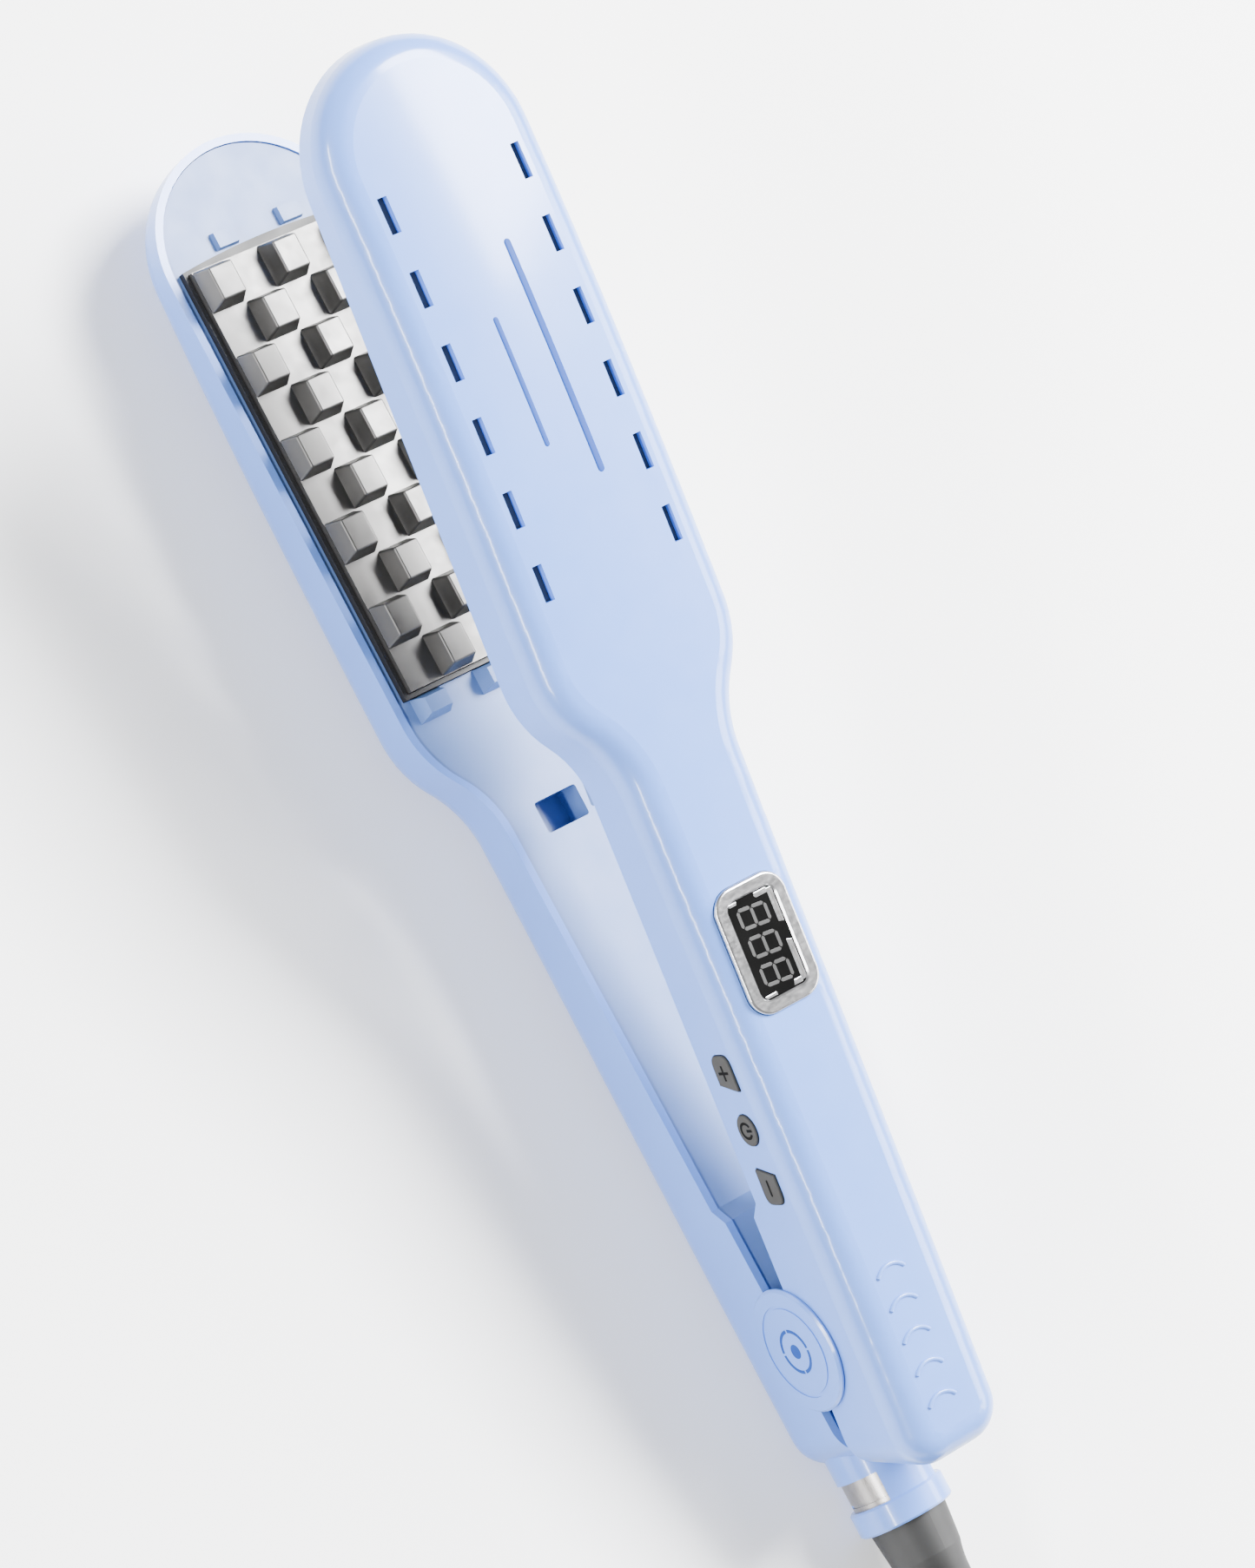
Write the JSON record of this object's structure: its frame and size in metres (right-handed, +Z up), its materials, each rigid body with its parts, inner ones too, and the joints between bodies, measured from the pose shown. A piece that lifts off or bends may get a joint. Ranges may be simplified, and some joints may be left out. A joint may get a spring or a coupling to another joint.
{
  "type": "hair volumizing flat iron",
  "caption": "Spring-opened hair volumizing iron with interlocking toothed heated plates, long vented arms, side buttons, temperature display and swivel cord with tied lead and plug.",
  "frame": {"origin": "bottom centre of the iron without its cord, on the surface that it lies on", "axes": "+X from the tail to the head, +Y to the side with the buttons, +Z up from the lower arm to the upper arm"},
  "size_m": [0.4637, 0.0614, 0.0925],
  "materials": {
    "housing": "satin light blue",
    "insulator": "matt black",
    "plate_metal": "satin coated grey",
    "ceramic": "matt",
    "steel": "bright",
    "chrome": "brushed chrome",
    "window": "clear dark gloss",
    "display": "dark display with grey segments",
    "inner_plastic": "matt",
    "circuit_board": "satin green",
    "key_rubber": "matt grey",
    "sleeve_steel": "satin",
    "cord_rubber": "matt grey",
    "tie": "woven black",
    "brass": "nickel-plated"
  },
  "bodies": {
    "lower_arm": {"lower_shell": "housing", "lower_liner": "housing", "lower_tail_cover": "housing", "lower_insulator": "insulator", "lower_plate": "plate_metal", "lower_heater": "ceramic", "lower_heater_shoe": "steel", "lower_thermal_fuse": "steel", "lower_plate_screws": "steel", "hinge_pin": "steel", "hinge_cap_left": "housing", "hinge_cap_right": "housing", "opening_spring": "steel"},
    "upper_arm": {"upper_shell": "housing", "upper_liner": "housing", "upper_tail_cover": "housing", "upper_insulator": "insulator", "upper_plate": "plate_metal", "upper_heater": "ceramic", "upper_heater_shoe": "steel", "upper_thermal_fuse": "steel", "upper_plate_screws": "steel", "display_bezel": "chrome", "display_window": "window", "display_module": "display", "display_frame": "inner_plastic", "main_board": "circuit_board", "switch_board": "circuit_board", "tact_switches": "inner_plastic"},
    "button_plus": {"button_plus": "key_rubber"},
    "button_power": {"button_power": "key_rubber"},
    "button_minus": {"button_minus": "key_rubber"},
    "cord_end": {"swivel_sleeve": "sleeve_steel", "swivel_core": "inner_plastic", "cord_boot": "cord_rubber", "cord_lead": "cord_rubber", "cord_hank": "cord_rubber", "cord_tie": "tie", "cord_tail": "cord_rubber", "plug_body": "cord_rubber", "plug_pins": "brass"}
  },
  "joints": [
    {"name": "arm_hinge", "type": "hinge", "parent": "lower_arm", "child": "upper_arm", "pos_m": [-0.1089, 0, 0.0243], "axis": [0, 1, 0], "range_deg": [0, 12.3], "stiffness_Nm_per_rad": 0.5, "springref_deg": -45.84, "deforming": ["opening_spring"]},
    {"name": "cord_swivel", "type": "hinge", "parent": "lower_arm", "child": "cord_end", "pos_m": [-0.1389, 0, 0.0098], "axis": [1, 0, 0], "continuous": true},
    {"name": "button_plus_press", "type": "slide", "parent": "upper_arm", "child": "button_plus", "axis": [0, -1, 0], "range_m": [0, 0.0006], "stiffness_N_per_m": 700, "springref_m": -0.0006},
    {"name": "button_power_press", "type": "slide", "parent": "upper_arm", "child": "button_power", "axis": [0, -1, 0], "range_m": [0, 0.0006], "stiffness_N_per_m": 700, "springref_m": -0.0006},
    {"name": "button_minus_press", "type": "slide", "parent": "upper_arm", "child": "button_minus", "axis": [0, -1, 0], "range_m": [0, 0.0006], "stiffness_N_per_m": 700, "springref_m": -0.0006}
  ]
}
